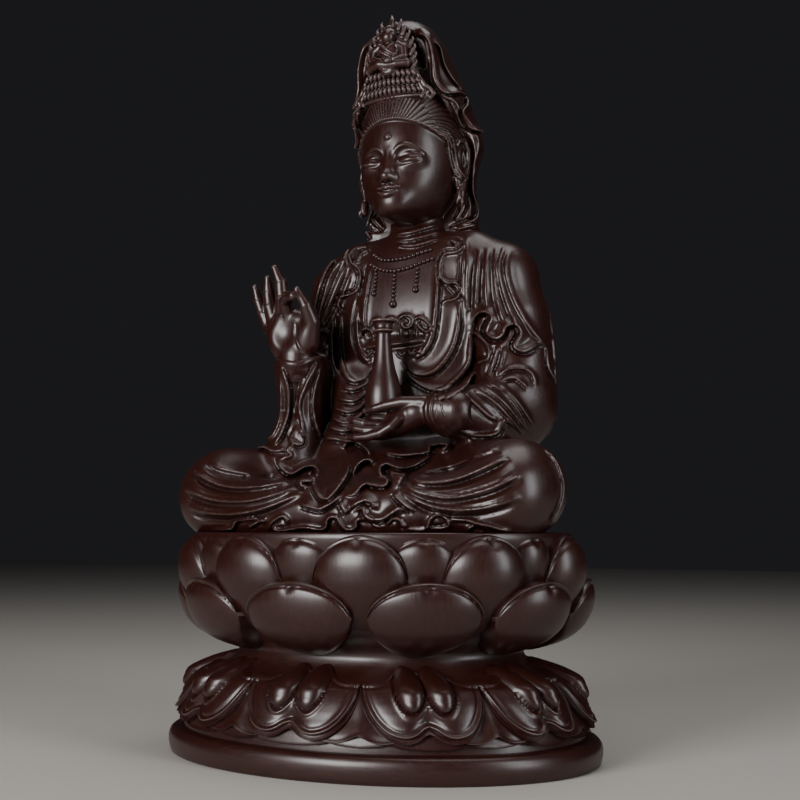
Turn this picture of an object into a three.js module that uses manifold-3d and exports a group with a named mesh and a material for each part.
// A seated Guanyin carved in dark wood, on an oval double lotus throne with its own foot.
// The figure wears a veil over a crown, a mantle with rippled hems over a robe open on the chest, and
// holds a slim vase in the left hand while the right hand is raised. It faces -Y; lengths are millimetres.
import * as THREE from "three";
import { mergeVertices } from "three/addons/utils/BufferGeometryUtils.js";
import Module from "manifold-3d";

const wasm = await Module();
wasm.setup();

// Throne: the foot is the oval slab, and the lotus above it is the same oval at smaller radii.
const footWidth = 237;
const footDepth = 174;
const footHeight = 13;
const footRounding = 4;
const waistHeight = 50; // height of the narrowest place between the two lotuses
const waistWidth = 156;
const seatHeight = 114.5;
const seatWidth = 209;
const bulgeWidth = 229; // over the fullest place of the upper petals
const petalCount = 10;
const petalTurn = -2.6; // degrees by which the middle of the front petals stands off the front
const turningCount = 48; // sides of a turned form
const seatBand = 1.5; // plain wood left between the tips of the upper petals and the seat

// Figure: its pose and carving are drawn on a canon of 294 parts from the seat to the top of the veil.
const figureHeight = 294;
const canonPartCount = 294;
const carvingGridCount = 128; // cells of the grid on which the figure's surface is found, over its height
const figureTriangleCount = 5700;
const throneTriangleCount = 3600; // petals and core, without the foot
const detailWeight = 5; // how much finer the head and the hands are kept than the robe

const ebony = { color: 0x2a1612, roughness: 0.36, metalness: 0 };

const clamp = (value, low, high) => Math.min(high, Math.max(low, value));
const mix = (a, b, t) => a + (b - a) * t;

// The value at t of a curve through rows [t, value, value, ...], by smooth steps of a Catmull-Rom spline.
function along(rows, t) {
  const last = rows.length - 1;
  let i = 0;
  while (i < last - 1 && rows[i + 1][0] < t) i++;
  const [before, from, to, after] = [i - 1, i, i + 1, i + 2].map((k) => rows[clamp(k, 0, last)]);
  const span = to[0] - from[0];
  const s = clamp((t - from[0]) / span, 0, 1);
  return from.slice(1).map((value, k) => {
    const slopeIn = (to[k + 1] - before[k + 1]) / Math.max(to[0] - before[0], span);
    const slopeOut = (after[k + 1] - value) / Math.max(after[0] - from[0], span);
    return (
      value * (1 + 2 * s) * (1 - s) ** 2 +
      slopeIn * span * s * (1 - s) ** 2 +
      to[k + 1] * s * s * (3 - 2 * s) -
      slopeOut * span * s * s * (1 - s)
    );
  });
}

// Forms of the carving, each with its distance function and the box it fills.

// An egg with half-axes radii, leaning by lean degrees to the figure's left and nod degrees forward.
function egg(centre, radii, { lean = 0, nod = 0 } = {}) {
  const turn = new THREE.Matrix4()
    .makeRotationFromEuler(
      new THREE.Euler(THREE.MathUtils.degToRad(nod), THREE.MathUtils.degToRad(lean), 0),
    )
    .invert().elements;
  const reach = Math.max(...radii);
  return {
    low: centre.map((c) => c - reach),
    high: centre.map((c) => c + reach),
    distance(x, y, z) {
      const [dx, dy, dz] = [x - centre[0], y - centre[1], z - centre[2]];
      const ux = (turn[0] * dx + turn[4] * dy + turn[8] * dz) / radii[0];
      const uy = (turn[1] * dx + turn[5] * dy + turn[9] * dz) / radii[1];
      const uz = (turn[2] * dx + turn[6] * dy + turn[10] * dz) / radii[2];
      const near = Math.hypot(ux, uy, uz);
      const slope = Math.hypot(ux / radii[0], uy / radii[1], uz / radii[2]);
      return slope > 1e-6 ? (near * (near - 1)) / slope : -Math.min(...radii);
    },
  };
}

// A round form that follows points [x, y, z, radius].
function limb(points) {
  const reach = (sign) =>
    [0, 1, 2].map((k) => sign * Math.max(...points.map((p) => sign * p[k] + p[3])));
  return {
    low: reach(-1),
    high: reach(1),
    distance(x, y, z) {
      let best = Infinity;
      for (let i = 0; i + 1 < points.length; i++) {
        const [a, b] = [points[i], points[i + 1]];
        const [ex, ey, ez] = [b[0] - a[0], b[1] - a[1], b[2] - a[2]];
        const [dx, dy, dz] = [x - a[0], y - a[1], z - a[2]];
        const length2 = ex * ex + ey * ey + ez * ez || 1;
        const t = clamp((dx * ex + dy * ey + dz * ez) / length2, 0, 1);
        const gap = Math.hypot(dx - t * ex, dy - t * ey, dz - t * ez);
        best = Math.min(best, gap - mix(a[3], b[3], t));
      }
      return best;
    },
  };
}

// An upright form whose level sections are ovals: rows [z, centre y, half width, half depth].
function stack(rows, centreX = 0) {
  const top = rows[rows.length - 1][0];
  const bottom = rows[0][0];
  const wide = Math.max(...rows.map((r) => r[2]));
  return {
    low: [centreX - wide, Math.min(...rows.map((r) => r[1] - r[3])), bottom],
    high: [centreX + wide, Math.max(...rows.map((r) => r[1] + r[3])), top],
    distance(x, y, z) {
      const [cy, rx, ry] = along(rows, clamp(z, bottom, top));
      const oval = (Math.hypot((x - centreX) / rx, (y - cy) / ry) - 1) * Math.min(rx, ry);
      const beyond = Math.max(z - top, bottom - z);
      return beyond > 0 ? Math.hypot(Math.max(oval, 0), beyond) : Math.max(oval, beyond);
    },
  };
}

// A grid cell as six tetrahedra round its long diagonal, by corner number x + 2 y + 4 z, and for each
// set of corners inside the wood, as a bit mask, the corners in an order that keeps its hand.
const tetrahedra = [[0, 1, 3, 7], [0, 3, 2, 7], [0, 2, 6, 7], [0, 6, 4, 7], [0, 4, 5, 7], [0, 5, 1, 7]];
const cornerOrders = {
  1: [0, 1, 2, 3], 2: [1, 0, 3, 2], 4: [2, 3, 0, 1], 8: [3, 2, 1, 0], 3: [0, 1, 2, 3],
  5: [0, 2, 3, 1], 9: [0, 3, 1, 2], 6: [1, 2, 0, 3], 10: [1, 3, 2, 0], 12: [2, 3, 0, 1],
};

// The block that the figure is cut from: a grid of distances to its surface, worked form by form.
class Block {
  constructor(low, high, step) {
    this.low = low;
    this.step = step;
    this.size = low.map((value, k) => Math.ceil((high[k] - value) / step) + 1);
    this.margin = 8; // a form's reach beyond its own box
    this.values = new Float32Array(this.size[0] * this.size[1] * this.size[2]).fill(this.margin);
  }

  // Changes the distances round a form: rule gets the old distance and the distance to the form.
  work(form, rule) {
    const [nx, ny] = this.size;
    const first = form.low.map((v, k) => Math.floor((v - this.margin - this.low[k]) / this.step));
    const last = form.high.map((v, k) => Math.ceil((v + this.margin - this.low[k]) / this.step));
    const [from, to] = [first, last].map((c) => c.map((v, k) => clamp(v, 0, this.size[k] - 1)));
    for (let k = from[2]; k <= to[2]; k++)
      for (let j = from[1]; j <= to[1]; j++)
        for (let i = from[0]; i <= to[0]; i++) {
          const at = i + nx * (j + ny * k);
          const [x, y, z] = [i, j, k].map((c, n) => this.low[n] + c * this.step);
          this.values[at] = rule(this.values[at], form.distance(x, y, z));
        }
  }

  // Adds a form, with a soft valley of the width blend where it meets the rest.
  join(form, blend = 4) {
    this.work(form, (a, b) => {
      const near = Math.max(blend - Math.abs(a - b), 0);
      return Math.min(a, b) - (near * near) / (4 * blend);
    });
  }

  // Takes a form away.
  cut(form, blend = 2) {
    this.work(form, (a, b) => {
      const near = Math.max(blend - Math.abs(a + b), 0);
      return Math.max(a, -b) + (near * near) / (4 * blend);
    });
  }

  distance(p) {
    const [nx, ny] = this.size;
    const cell = p.map((v, k) => clamp((v - this.low[k]) / this.step, 0, this.size[k] - 1.001));
    const [i, j, k] = cell.map(Math.floor);
    const [u, v, w] = [cell[0] - i, cell[1] - j, cell[2] - k];
    const get = (a, b, c) => this.values[i + a + nx * (j + b + ny * (k + c))];
    const row = (b, c) => mix(get(0, b, c), get(1, b, c), u);
    return mix(mix(row(0, 0), row(1, 0), v), mix(row(0, 1), row(1, 1), v), w);
  }

  // The outward direction of the surface at p.
  outward(p) {
    const slope = [0, 1, 2].map((k) => {
      const [a, b] = [p.slice(), p.slice()];
      a[k] -= this.step / 2;
      b[k] += this.step / 2;
      return (this.distance(b) - this.distance(a)) / this.step;
    });
    const length = Math.hypot(...slope) || 1;
    return slope.map((s) => s / length);
  }

  // The point of the surface nearest to p.
  settle(p) {
    let q = p.slice(0, 3);
    for (let round = 0; round < 6; round++) {
      const [d, n] = [this.distance(q), this.outward(q)];
      q = q.map((v, k) => v - 0.8 * d * n[k]);
    }
    return q;
  }

  // A line on the surface through guide points: rows [x, y, z, radius], thinning out at both ends.
  // With ripples it swings to and fro by swing, as the hem of a thick cloth does.
  line(guide, radius, { ripples = 0, swing = 0, thin = 0.45, steps = 6 } = {}) {
    const curve = new THREE.CatmullRomCurve3(guide.map((g) => new THREE.Vector3(...g)));
    const count = Math.max(steps * (guide.length - 1), Math.ceil(ripples * 8));
    const rows = [];
    for (let i = 0; i <= count; i++) {
      const t = i / count;
      let p = this.settle(curve.getPoint(t).toArray());
      if (ripples) {
        const side = new THREE.Vector3(...this.outward(p)).cross(curve.getTangent(t)).normalize();
        const wave = swing * Math.sin(2 * Math.PI * ripples * t);
        p = this.settle(p.map((v, k) => v + wave * side.getComponent(k)));
      }
      const fade = Math.sin(Math.PI * clamp(t, 0.04, 0.96)) ** thin;
      rows.push([...p, radius * fade]);
    }
    return limb(rows);
  }

  // Folds stand up from the cloth and grooves sink into it.
  fold(guide, radius, options) {
    this.join(this.line(guide, radius, options), radius * 1.6);
  }

  groove(guide, radius, options) {
    this.cut(this.line(guide, radius, options), radius * 1.2);
  }

  // Nothing is left on the outer faces of the block, so that the net is closed.
  close() {
    const [nx, ny, nz] = this.size;
    const ends = (c, count) => c === 0 || c === count - 1;
    this.values.forEach((value, at) => {
      const [i, j, k] = [at % nx, Math.floor(at / nx) % ny, Math.floor(at / (nx * ny))];
      if (ends(i, nx) || ends(j, ny) || ends(k, nz)) this.values[at] = this.margin;
    });
  }

  // The surface as one closed net of triangles, found in the six tetrahedra of each grid cell.
  net() {
    this.close();
    const [nx, ny, nz] = this.size;
    const corners = [...Array(8).keys()].map((c) => [c & 1, (c >> 1) & 1, c >> 2]);
    const offsets = corners.map(([a, b, c]) => a + nx * (b + ny * c));
    const pointOf = new Map();
    const positions = [];
    const triangles = [];
    const pointBetween = (a, b) => {
      const key = Math.min(a, b) * this.values.length + Math.max(a, b);
      if (!pointOf.has(key)) {
        pointOf.set(key, positions.length / 3);
        const share = clamp(this.values[a] / (this.values[a] - this.values[b]), 0.02, 0.98);
        const place = (at) => [at % nx, Math.floor(at / nx) % ny, Math.floor(at / (nx * ny))];
        const [from, to] = [place(a), place(b)];
        from.forEach((v, k) => positions.push(this.low[k] + mix(v, to[k], share) * this.step));
      }
      return pointOf.get(key);
    };
    for (let k = 0; k < nz - 1; k++)
      for (let j = 0; j < ny - 1; j++)
        for (let i = 0; i < nx - 1; i++) {
          const at = i + nx * (j + ny * k);
          const inside = offsets.map((o) => this.values[at + o] < 0);
          if (inside.every((s) => s === inside[0])) continue;
          for (const cell of tetrahedra) {
            const mask = cell.reduce((sum, c, n) => sum + (inside[c] ? 1 << n : 0), 0);
            if (mask === 0 || mask === 15) continue;
            const pair = mask in cornerOrders;
            const [a, b, c, d] = cornerOrders[pair ? mask : 15 - mask].map((n) => at + offsets[cell[n]]);
            const two = [3, 5, 6, 9, 10, 12].includes(mask);
            const ring = two
              ? [[a, c], [a, d], [b, d], [b, c]]
              : [[a, b], [a, c], [a, d]];
            const points = ring.map(([from, to]) => pointBetween(from, to));
            if (!pair) points.reverse();
            for (let n = 2; n < points.length; n++) triangles.push(points[0], points[n - 1], points[n]);
          }
        }
    return { positions, triangles };
  }
}

// Takes a net down to the wanted number of triangles by closing its cheapest edges first, where an
// edge costs the squared distance that it moves the surface, times weight(x, y, z) there.
function simplify({ positions, triangles }, wanted, weight) {
  const count = positions.length / 3;
  const at = Float64Array.from(positions);
  const faces = Int32Array.from(triangles);
  const facesOf = Array.from({ length: count }, () => []);
  const squares = new Float64Array(count * 10); // the distance to each point's planes, as a quadric
  const stamp = new Int32Array(count);
  const dead = new Uint8Array(faces.length / 3);
  const point = (v) => [at[3 * v], at[3 * v + 1], at[3 * v + 2]];
  const normalOf = (a, b, c) => {
    const [ux, uy, uz] = [b[0] - a[0], b[1] - a[1], b[2] - a[2]];
    const [vx, vy, vz] = [c[0] - a[0], c[1] - a[1], c[2] - a[2]];
    return [uy * vz - uz * vy, uz * vx - ux * vz, ux * vy - uy * vx];
  };
  for (let f = 0; f < dead.length; f++) {
    const corner = [faces[3 * f], faces[3 * f + 1], faces[3 * f + 2]];
    const [a, b, c] = corner.map(point);
    const n = normalOf(a, b, c);
    const area = Math.hypot(...n) || 1e-12;
    const [nx, ny, nz] = n.map((v) => v / area);
    const d = -(nx * a[0] + ny * a[1] + nz * a[2]);
    const plane = [nx * nx, nx * ny, nx * nz, nx * d, ny * ny, ny * nz, ny * d, nz * nz, nz * d, d * d];
    const share = area * weight(...a);
    for (const v of corner) {
      facesOf[v].push(f);
      plane.forEach((q, k) => (squares[10 * v + k] += q * share));
    }
  }
  const cost = (q, [x, y, z]) =>
    q[0] * x * x + 2 * q[1] * x * y + 2 * q[2] * x * z + 2 * q[3] * x +
    q[4] * y * y + 2 * q[5] * y * z + 2 * q[6] * y + q[7] * z * z + 2 * q[8] * z + q[9];
  // The cheapest place for the point that a and b become.
  const best = (a, b) => {
    const q = Array.from({ length: 10 }, (_, k) => squares[10 * a + k] + squares[10 * b + k]);
    const [pa, pb] = [point(a), point(b)];
    const choices = [pa, pb, pa.map((v, k) => (v + pb[k]) / 2)];
    const m = new THREE.Matrix3().set(q[0], q[1], q[2], q[1], q[4], q[5], q[2], q[5], q[7]);
    const size = q[0] + q[4] + q[7];
    if (Math.abs(m.determinant()) > 1e-4 * size ** 3) {
      const p = new THREE.Vector3(-q[3], -q[6], -q[8]).applyMatrix3(m.invert()).toArray();
      const reach = Math.hypot(...pa.map((v, k) => v - pb[k]));
      if (Math.hypot(...p.map((v, k) => v - choices[2][k])) < 2 * reach) choices.push(p);
    }
    const costs = choices.map((p) => cost(q, p));
    const low = Math.min(...costs);
    return [low, choices[costs.indexOf(low)]];
  };
  // A heap of edges, cheapest at the root: [cost, a, b, place, stamps of a and b when it was added].
  const heap = [];
  const push = (entry) => {
    let i = heap.push(entry) - 1;
    while (i > 0 && heap[(i - 1) >> 1][0] > entry[0]) {
      heap[i] = heap[(i - 1) >> 1];
      i = (i - 1) >> 1;
    }
    heap[i] = entry;
  };
  const pop = () => {
    const root = heap[0];
    const entry = heap.pop();
    if (!heap.length) return root;
    let i = 0;
    for (let c = 1; c < heap.length; c = 2 * i + 1) {
      if (c + 1 < heap.length && heap[c + 1][0] < heap[c][0]) c++;
      if (heap[c][0] >= entry[0]) break;
      heap[i] = heap[c];
      i = c;
    }
    heap[i] = entry;
    return root;
  };
  const offer = (a, b) => {
    const [price, place] = best(a, b);
    push([price, a, b, place, stamp[a], stamp[b]]);
  };
  const cornersOf = (f) => [faces[3 * f], faces[3 * f + 1], faces[3 * f + 2]];
  const neighbours = (v) => new Set(facesOf[v].flatMap(cornersOf).filter((u) => u !== v));
  // Whether a face would turn over when its corner v moves to place.
  const turns = (v, other, place) =>
    facesOf[v].some((f) => {
      const corner = cornersOf(f);
      if (corner.includes(other)) return false;
      const before = normalOf(...corner.map(point));
      const after = normalOf(...corner.map((u) => (u === v ? place : point(u))));
      const dot = before[0] * after[0] + before[1] * after[1] + before[2] * after[2];
      return dot < 0.25 * Math.hypot(...before) * Math.hypot(...after) || Math.hypot(...after) < 1e-6;
    });
  for (let f = 0; f < dead.length; f++) {
    const corner = cornersOf(f);
    corner.forEach((a, n) => a < corner[(n + 1) % 3] && offer(a, corner[(n + 1) % 3]));
  }
  let left = dead.length;
  while (left > wanted && heap.length) {
    const [, a, b, place, stampA, stampB] = pop();
    if (stamp[a] !== stampA || stamp[b] !== stampB) continue;
    const shared = [...neighbours(a)].filter((v) => neighbours(b).has(v));
    if (shared.length !== 2 || turns(a, b, place) || turns(b, a, place)) continue;
    at.set(place, 3 * a);
    for (let k = 0; k < 10; k++) squares[10 * a + k] += squares[10 * b + k];
    for (const f of facesOf[b]) {
      const corner = cornersOf(f);
      if (corner.includes(a)) {
        dead[f] = 1;
        left--;
        corner.forEach((v) => (facesOf[v] = v === b ? facesOf[v] : facesOf[v].filter((g) => g !== f)));
      } else {
        faces[3 * f + corner.indexOf(b)] = a;
        facesOf[a].push(f);
      }
    }
    stamp[b] = -1;
    stamp[a]++;
    for (const v of neighbours(a)) offer(Math.min(a, v), Math.max(a, v));
  }
  const kept = [...dead.keys()].filter((f) => !dead[f]).flatMap(cornersOf);
  const order = new Map([...new Set(kept)].map((v, n) => [v, n]));
  return {
    positions: [...order.keys()].flatMap(point),
    triangles: kept.map((v) => order.get(v)),
  };
}

const sides = [-1, 1]; // the figure's right and left
const mirrored = (points, side) => points.map(([x, ...rest]) => [side * x, ...rest]);

// Keeps only the part of a form on the inner side of a bound, a function that is negative there.
const within = (form, bound) => ({
  ...form,
  distance: (x, y, z) => Math.max(form.distance(x, y, z), bound(x, y, z)),
});

// Crossed legs under the robe, wide knees and the folds that run to them from the middle.
function carveLegs(block) {
  block.join(egg([0, 28, 16], [72, 54, 34]));
  block.join(egg([0, -8, 8], [84, 44, 24]), 8);
  for (const side of sides) {
    block.join(limb(mirrored([[26, 46, 26, 26], [56, 18, 26, 24], [81, -12, 22, 22]], side)), 10);
    block.join(egg([85 * side, -17, 21], [24, 27, 24]), 8);
    block.join(limb(mirrored([[84, -27, 16, 18], [46, -40, 12, 15], [8, -46, 10, 12]], side)), 8);
    for (let n = 0; n < 5; n++) {
      const guide = [
        [30 + 2 * n, -58 + 5 * n, 7 + 7.5 * n],
        [58, -60 + 6.5 * n, 2 + 8.5 * n],
        [90 - 3 * n, -42 + 9 * n, 9 + 8 * n],
      ];
      const below = guide.map(([x, y, z]) => [x, y, z - 4.6]);
      block.fold(mirrored(guide, side), 3);
      block.groove(mirrored(below, side), 1.8);
    }
  }
}

function carveTorso(block) {
  const torso = [
    [14, 44, 54, 38], [45, 46, 47, 31], [75, 48, 43, 30], [100, 49, 47, 30], [122, 50, 53, 30],
    [138, 51, 54, 28], [150, 51, 46, 24], [160, 51, 30, 19], [167, 51, 20, 16],
  ];
  block.join(stack(torso), 8);
  for (const side of sides) {
    const reach = side > 0 ? 52 : 48;
    block.join(limb(mirrored([[0, 50, 150, 19], [33, 50, 150, 19.5], [reach, 50, 140, 19]], side)), 8);
  }
}

// Upper arms under the mantle, the left forearm laid across and the right one raised in its sleeve.
function carveArms(block) {
  block.join(limb([[52, 50, 140, 19], [59, 48, 116, 20], [62, 43, 72, 22]]), 6);
  block.join(limb([[62, 41, 66, 21], [55, 18, 62, 17], [42, 0, 62, 13]]), 6);
  block.join(limb([[62, 42, 70, 19], [57, 34, 46, 20]]), 6);
  block.join(limb([[-48, 50, 138, 18], [-50, 48, 112, 18], [-58, 40, 82, 17]]), 6);
  block.join(limb([[-58, 40, 78, 16], [-54, 20, 86, 14], [-51, 4, 92, 12.5]]), 6);
  block.join(limb([[-50, 5, 88, 13], [-49, 6, 66, 11.5], [-55, 1, 36, 15.5]]), 5);
  block.join(limb([[-54, 20, 84, 14], [-58, 20, 34, 17]]), 6);
  block.join(limb([[-59, 34, 80, 15], [-64, 32, 38, 17]]), 6);
}

function carveHead(block) {
  block.join(limb([[0, 52, 148, 17], [0, 50, 178, 16]]), 4);
  const face = [
    [172, 33, 7, 8], [176, 35, 16, 17], [182, 38, 23, 24], [190, 40, 28, 28.5],
    [200, 42, 30.5, 31], [210, 44, 31, 33], [220, 46, 30.5, 34.5], [230, 48, 28.5, 34],
    [240, 50, 24, 29], [248, 51, 15, 19],
  ];
  block.join(stack(face), 3);
  const hair = face.map(([z, y, rx, ry]) => [z + 1, y, rx + 2, ry + 2]);
  block.join(within(stack(hair), (x, y, z) => 228 - 0.8 * (y - 12) - z), 0.8);
  block.join(limb([[0, 13, 211, 2], [0, 9, 200, 2.6], [0, 7.5, 194.5, 3.4]]), 3);
  block.join(egg([0, 13, 184.5], [6, 4, 2.8]), 1.5);
  block.join(egg([0, 12.5, 188], [7, 3.5, 2]), 1);
  block.join(egg([0, 18, 177.5], [8, 6, 5.5]), 4);
  for (const side of sides) {
    block.join(egg([4 * side, 11, 193.5], [2.8, 4, 2.6]), 1.5);
    block.join(egg([12.5 * side, 15.5, 204.5], [7, 4, 4.4]), 1.5);
    block.groove(mirrored([[5, 10, 202], [12.5, 8, 201], [21, 16, 203.5]], side), 0.9);
    const ear = [[31, 44, 213, 3.5], [33, 48, 203, 4.5], [31.5, 43, 184, 4.5]];
    block.join(limb(mirrored(ear, side)), 1.5);
  }
}

// The cloth over the head: it hangs from the top of the crown to the shoulders, open round the face.
function carveVeil(block) {
  const bun = [
    [232, 48, 28, 32], [245, 44, 24, 28], [260, 42, 20, 24], [275, 43, 15, 20], [286, 44, 9, 13],
  ];
  block.join(stack(bun), 3);
  const veil = [
    [140, 60, 30, 18], [164, 58, 33, 22], [178, 56, 33.5, 25], [190, 54, 34, 28], [205, 52.5, 36, 30.5],
    [220, 51.5, 38, 32], [235, 49, 35, 33.5], [250, 47, 30, 32], [265, 45.5, 24.5, 29.5], [280, 44, 18, 25],
    [290, 43.5, 11, 16.5], [294, 44, 4, 7],
  ];
  const edge = [
    [140, 62], [166, 50], [190, 52], [205, 48], [222, 37], [236, 30], [252, 22], [275, 22], [294, 20],
  ];
  block.join(within(stack(veil), (x, y, z) => along(edge, z)[0] - y), 1.5);
  for (const side of sides) {
    block.fold(mirrored([[17, 22, 284], [23, 24, 262], [26, 27, 246], [36, 36, 230]], side), 1.8);
    block.groove(mirrored([[15, 40, 288], [26, 50, 262], [33, 46, 240]], side), 1.8);
    block.groove(mirrored([[6, 66, 284], [13, 78, 250], [15, 84, 215], [14, 80, 180]], side), 1.8);
    block.fold(mirrored([[38, 44, 222], [36, 52, 200], [35, 54, 176]], side), 2);
  }
}

// The flame-shaped plate on the crown with a small seated figure on a lotus.
function carveCrown(block) {
  const plate = [
    [241, 18, 15, 3.5], [250, 16, 18.5, 3.5], [260, 15, 19, 3.2], [272, 14.5, 16, 3], [282, 15, 9, 2.6],
    [290, 16, 1.5, 1.5],
  ];
  block.join(stack(plate), 1.5);
  const seated = [
    [[0, 12.5, 246], [15, 3.2, 3]], [[0, 11.5, 252], [12, 3.6, 3]], [[0, 11, 259.5], [10, 3.6, 3.4]],
    [[0, 11.5, 267], [6.5, 3.2, 6.5]], [[0, 11, 277], [3.8, 3, 4.4]],
  ];
  for (const [centre, radii] of seated) block.join(egg(centre, radii), 0.8);
}

// Slim vase with a flared lip, standing on the left palm.
const vase = {
  centre: [3, 0],
  rows: [
    [64, 7.6], [68, 9.4], [76, 10.4], [86, 9], [95, 6], [103, 4.2], [107, 5.2], [108.5, 6.6], [110, 5],
    [113, 5.6],
  ],
};

function carveVaseAndHands(block) {
  const [x, y] = vase.centre;
  block.join(stack(vase.rows.map(([z, r]) => [z, y, r, r]), x), 0.8);
  // Left hand: cuff, palm under the vase and the fingers laid along it.
  block.join(limb([[44, -2, 61, 13.5], [38, -4, 61, 13]]), 2);
  block.join(limb([[36, -4, 60, 9.5], [22, -7, 58, 10], [8, -7, 57, 9]]), 4);
  for (let n = 0; n < 4; n++) {
    const [near, far] = [-13 + 4.2 * n, -15 + 4.6 * n];
    const tip = [-17 - 2 * (n % 2), far + 2, 54.5, 2.7];
    block.join(limb([[8, near, 56, 3.6], [-6, far, 53.5, 3.4], tip]), 1.5);
  }
  block.join(limb([[28, -12, 63, 4.8], [16, -15, 67, 4], [4, -13, 66, 3.2]]), 2);
  // Right hand: palm to the front, thumb and middle finger joined, the others up.
  block.join(egg([-54, -1, 111], [14.5, 7, 17], { lean: -22 }), 3);
  block.join(limb([[-51, 2, 92, 11], [-51, 1, 101, 10]]), 3);
  const fingers = [
    [[-48, -1, 121, 4.2], [-50, -8, 133, 3.7], [-48, -15, 131, 3.1]],
    [[-55, -1, 124, 4.1], [-61, -3, 138, 3.5], [-62, -4, 147, 2.7]],
    [[-62, 0, 121, 3.9], [-69, -1, 134, 3.3], [-73, -2, 143, 2.5]],
    [[-67, 1, 115, 3.6], [-75, 0, 126, 3.1], [-78, -1, 136, 2.4]],
  ];
  for (const finger of fingers) block.join(limb(finger), 1.2);
  block.join(limb([[-45, -3, 106, 6], [-40, -8, 117, 4.8], [-44, -14, 127, 3.5]]), 2);
}

// Robe and mantle: the open neck, the folds on the chest, the hems that ripple and the sleeves.
function carveDrapery(block) {
  for (const side of sides) {
    // Edge of the mantle beside the bare chest, then the folds that hang in a curve from each shoulder.
    const lapel = [[22, 33, 164], [24, 22, 146], [27, 20, 122], [26, 19, 100], [14, 18, 80]];
    block.fold(mirrored(lapel, side), 2.6, { ripples: 2, swing: 2 });
    for (let n = 0; n < 3; n++) {
      const guide = [
        [36 + 4 * n, 30 + n, 160], [38 + 3 * n, 22, 122 - 4 * n], [30 + 3 * n, 20, 92 - 6 * n],
        [0, 16, 74 - 7 * n],
      ];
      block.fold(mirrored(guide, side), 2.6);
    }
    for (let n = 0; n < 3; n++) {
      const guide = [
        [52 + 4 * n, 40 + 3 * n, 154 - 4 * n], [57 + 5 * n, 30 + 5 * n, 130], [54 + 8 * n, 30 + 4 * n, 104],
      ];
      block.fold(mirrored(guide, side), 2);
    }
    block.fold(mirrored([[30, 60, 158], [36, 76, 110], [34, 80, 60], [30, 84, 14]], side), 2.6);
    block.fold(mirrored([[12, 68, 158], [14, 80, 100], [12, 82, 60], [10, 86, 14]], side), 2.4);
    block.fold(mirrored([[48, 66, 146], [60, 66, 100], [62, 62, 60], [62, 60, 30]], side), 2.6);
  }
  // Belt under the open chest.
  block.fold([[-24, 24, 94], [0, 18, 92], [24, 24, 94]], 2.6);
  // Rippled hem of the mantle over the left arm, and the folds of the sleeve that comes out of it.
  const hem = [[42, 22, 118], [52, 24, 108], [66, 24, 103], [80, 34, 96], [88, 46, 80]];
  block.fold(hem, 3, { ripples: 2.5, swing: 4.5 });
  block.join(limb([[78, 40, 94, 6], [86, 48, 78, 2.5]]), 3);
  for (let n = 0; n < 4; n++) {
    const guide = [
      [46 + 3 * n, -2 + 4 * n, 74], [60 + 3 * n, 8 + 5 * n, 70 - 2 * n], [80, 24 + 6 * n, 50 - 2 * n],
    ];
    block.fold(guide, 2);
  }
  // The hollow of the hanging right sleeve between its two hems.
  block.cut(limb([[-48, -7, 84, 6], [-49, -8, 66, 2.5], [-52, -12, 42, 5]]), 2);
  // Cloth lying in the lap and over the edge of the seat.
  for (let n = 0; n < 3; n++) {
    const [reach, front] = [24 + 13 * n, -54 - 2 * n];
    const guide = [
      [-reach, front + 14, 26 - 9 * n], [0, front, 20 - 7 * n], [reach, front + 14, 26 - 9 * n],
    ];
    block.fold(guide, 2.8, { ripples: 2 + n, swing: 3 });
  }
  block.fold([[2, 6, 46], [-6, -14, 34], [4, -30, 30], [-4, -50, 18]], 4, { ripples: 1, swing: 3 });
}

function carveFigure() {
  const block = new Block([-122, -72, -7], [122, 98, 298], canonPartCount / carvingGridCount);
  carveLegs(block);
  carveTorso(block);
  carveArms(block);
  carveHead(block);
  carveVeil(block);
  carveCrown(block);
  carveDrapery(block);
  carveVaseAndHands(block);
  const fine = (x, y, z) => (z > 160 || (z > 50 && y < 12) ? detailWeight : 1);
  return simplify(block.net(), figureTriangleCount, fine);
}

// A closed geometry as a solid that can be joined and cut, and a solid as a geometry again.
function solidOf(geometry) {
  for (const name of ["normal", "uv"]) geometry.deleteAttribute(name);
  const welded = mergeVertices(geometry, 1e-4);
  const { array } = welded.attributes.position;
  return new wasm.Manifold(
    new wasm.Mesh({
      numProp: 3,
      vertProperties: Float32Array.from(array),
      triVerts: Uint32Array.from(welded.index.array),
    }),
  );
}

function geometryOf({ positions, triangles }) {
  const geometry = new THREE.BufferGeometry();
  geometry.setAttribute("position", new THREE.BufferAttribute(Float32Array.from(positions), 3));
  geometry.setIndex(new THREE.BufferAttribute(Uint32Array.from(triangles), 1));
  return geometry;
}

function geometryOfSolid(solid) {
  const mesh = solid.getMesh();
  return geometryOf({ positions: mesh.vertProperties, triangles: mesh.triVerts });
}

// The carved figure, cut level where it sits on the lotus.
function figure() {
  const net = carveFigure();
  const part = figureHeight / canonPartCount;
  const carved = geometryOf(net).scale(part, part, part).translate(0, 0, seatHeight);
  const below = new THREE.BoxGeometry(2 * footWidth, 2 * footDepth, seatHeight);
  below.translate(0, 0, seatHeight / 2);
  return geometryOfSolid(solidOf(carved).subtract(solidOf(below)));
}

// Radius of the upper lotus without its petals at height z: a bowl from the waist to the seat.
const seatRadius = seatWidth / 2;
const waistRadius = waistWidth / 2;
const bulgeRadius = bulgeWidth / 2;
const oval = footDepth / footWidth; // every level section of the throne has the shape of the foot

// A turned form of the throne from rows [radius, z] that start and end on its axis.
function turned(rows) {
  const points = rows.map(([radius, z]) => new THREE.Vector2(radius, z));
  return new THREE.LatheGeometry(points, turningCount).rotateX(Math.PI / 2).scale(1, oval, 1);
}

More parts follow.
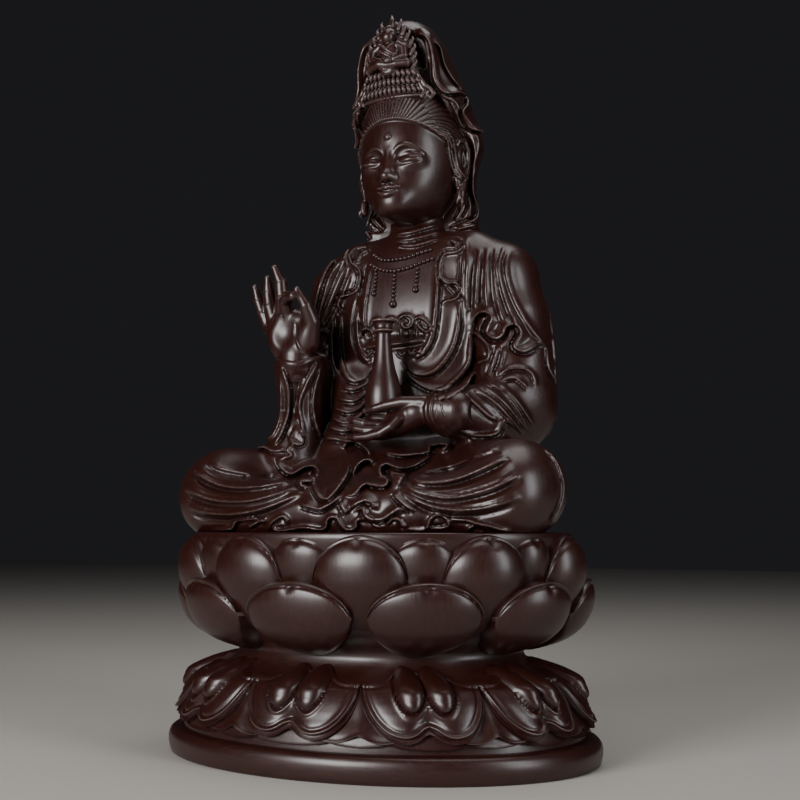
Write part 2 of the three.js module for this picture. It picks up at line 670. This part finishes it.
function footSlab() {
  const foot = footWidth / 2;
  return turned([
    [0, 0], [foot - 1.5, 0], [foot, footHeight * 0.5],
    [foot - footRounding * 0.2, footHeight - footRounding * 0.5],
    [foot - footRounding, footHeight], [foot - 3 * footRounding, footHeight + 1], [0, footHeight + 1],
  ]);
}

// The wood inside the petals, from the slope of the lower lotus by the waist to the seat.
function throneCore() {
  const foot = footWidth / 2;
  const lower = waistHeight - footHeight;
  const upper = seatHeight - waistHeight;
  return turned([
    [0, footHeight / 2], [foot - 8, footHeight / 2], [foot - 8, footHeight + lower * 0.2],
    [foot - 15, footHeight + lower * 0.6], [foot - 24, footHeight + lower * 0.82],
    [waistRadius + 6, waistHeight - 2], [waistRadius + 1, waistHeight + 3], [waistRadius + 2, waistHeight + 8],
    [bulgeRadius - 26, seatHeight - upper * 0.8], [bulgeRadius - 20, seatHeight - upper * 0.6],
    [bulgeRadius - 20, seatHeight - upper * 0.25], [seatRadius - 8, seatHeight - 5 * seatBand],
    [seatRadius, seatHeight - seatBand], [seatRadius, seatHeight + seatBand], [0, seatHeight + seatBand],
  ]);
}

// One petal as a plump leaf that stands out of the core at turn degrees. It reaches half degrees to each
// side; heights are its lowest point, its widest place and its tip; rim(z) is the radius of its edge and
// plump what its middle adds. The outline's powers shape its edge, those of fall its way down to the
// lower edge, and notch lifts the middle of that edge.
function petal(turn, { heights, half, rim, plump, outline = [2.2, 0.5], fall = [2, 0.6], notch = 0 }) {
  const [low, wide, high] = heights;
  const leaf = new THREE.BoxGeometry(2, 2, 2, 6, 1, 4);
  const at = leaf.attributes.position;
  for (let n = 0; n < at.count; n++) {
    const [s, t] = [Math.sin((at.getX(n) * Math.PI) / 2), Math.sin((at.getZ(n) * Math.PI) / 2)];
    const round = Math.max(1 - Math.abs(s) ** outline[0], 0.02) ** outline[1];
    const dip = Math.max(-t, 0) * notch * Math.exp(-((s / 0.25) ** 2));
    const z = wide + (t < 0 ? wide - low : high - wide) * t * round + dip;
    const [power, root] = t < 0 ? fall : [3, 0.6];
    const ends = Math.max(1 - Math.abs(t) ** power, 0) ** root;
    const crown = Math.max(1 - s * s, 0) ** 0.7 * ends;
    const radius = at.getY(n) < 0 ? rim(z) + plump * crown : waistRadius * 0.9;
    const angle = THREE.MathUtils.degToRad(turn + s * half);
    at.setXYZ(n, radius * Math.sin(angle), -radius * Math.cos(angle) * oval, z);
  }
  return leaf;
}

// One of the two egg-shaped swellings on the upper half of a turned-down petal, along its slope.
function swelling(turn, radius, height) {
  const form = new THREE.SphereGeometry(1, 8, 6).rotateX(Math.PI / 2).scale(7, 7, 11);
  form.rotateX(-0.75).translate(0, -radius, height).rotateZ(THREE.MathUtils.degToRad(turn));
  return form.scale(1, oval, 1);
}

// Every petal of the throne: two turned-down rows under the waist and three rows round the seat.
function petals() {
  const step = 360 / petalCount;
  const upper = (share) => mix(waistHeight, seatHeight, share);
  const lower = (share) => mix(footHeight, waistHeight, share);
  const foot = footWidth / 2;
  const frontRim = [
    [upper(0.1), bulgeRadius - 30], [upper(0.17), bulgeRadius - 19], [upper(0.25), bulgeRadius - 13],
    [upper(0.34), bulgeRadius - 9.5], [upper(0.47), bulgeRadius - 6.5], [upper(0.64), bulgeRadius - 4],
  ];
  const middleRim = [
    [upper(0.25), bulgeRadius - 19.5], [upper(0.47), bulgeRadius - 13.5], [upper(0.62), bulgeRadius - 10.5],
    [upper(0.73), bulgeRadius - 9.5], [upper(0.98), bulgeRadius - 11],
  ];
  const backRim = [[upper(0.47), bulgeRadius - 18.5], [upper(0.98), bulgeRadius - 13.5]];
  const skirt = [
    [lower(0), foot - 3], [lower(0.2), foot - 3.5], [lower(0.4), foot - 9.5], [lower(0.65), foot - 15.5],
    [lower(0.85), foot - 25], [lower(1.05), foot - 36],
  ];
  const tips = seatHeight - seatBand;
  const edge = (rows, inset = 0) => (z) => along(rows, z)[0] - inset;
  const rows = [
    { heights: [upper(0.47), upper(0.73), tips], half: step * 0.29, rim: edge(backRim), plump: 8.5 },
    {
      heights: [upper(0.31), upper(0.64), tips], half: step * 0.355, rim: edge(middleRim), plump: 10,
      fall: [1.3, 0.9], shift: 0.5,
    },
    {
      heights: [upper(0.1), upper(0.39), upper(0.64)], half: step / 2, rim: edge(frontRim), plump: 4.2,
      outline: [1.8, 0.62],
    },
    {
      heights: [0.08, 0.5, 0.75].map(lower), half: step / 2, rim: edge(skirt, 4), plump: 1,
      outline: [2.4, 0.5], notch: 5, shift: 0.5,
    },
    {
      heights: [0.19, 0.69, 0.93].map(lower), half: step / 2, rim: edge(skirt), plump: 3.4,
      outline: [2.4, 0.5], notch: 6,
    },
  ];
  const leaves = rows.flatMap(({ shift = 0, ...shape }) =>
    [...Array(petalCount).keys()].map((n) => petal(petalTurn + (n + shift) * step, shape)),
  );
  for (let n = 0; n < petalCount; n++)
    for (const side of sides) {
      leaves.push(swelling(petalTurn + (n + side * 0.115) * step, foot - 15.5, lower(0.74)));
    }
  return leaves;
}

// The lotus throne: the carved flower, its foot under it and its seat planed level.
function throne() {
  const flower = petals().reduce((solid, leaf) => solid.add(solidOf(leaf)), solidOf(throneCore()));
  const { vertProperties, triVerts } = flower.getMesh();
  const net = { positions: vertProperties, triangles: triVerts };
  const carved = simplify(net, throneTriangleCount, () => 1);
  const above = new THREE.BoxGeometry(footWidth, footDepth, footHeight);
  above.translate(0, 0, seatHeight + footHeight / 2);
  const onFoot = solidOf(geometryOf(carved)).add(solidOf(footSlab()));
  return geometryOfSolid(onFoot.subtract(solidOf(above)));
}

const model = new THREE.Group();
for (const [name, geometry] of Object.entries({ guanyin_figure: figure(), lotus_throne: throne() })) {
  const mesh = new THREE.Mesh(geometry, new THREE.MeshStandardMaterial(ebony));
  mesh.name = name;
  model.add(mesh);
}

export default model;
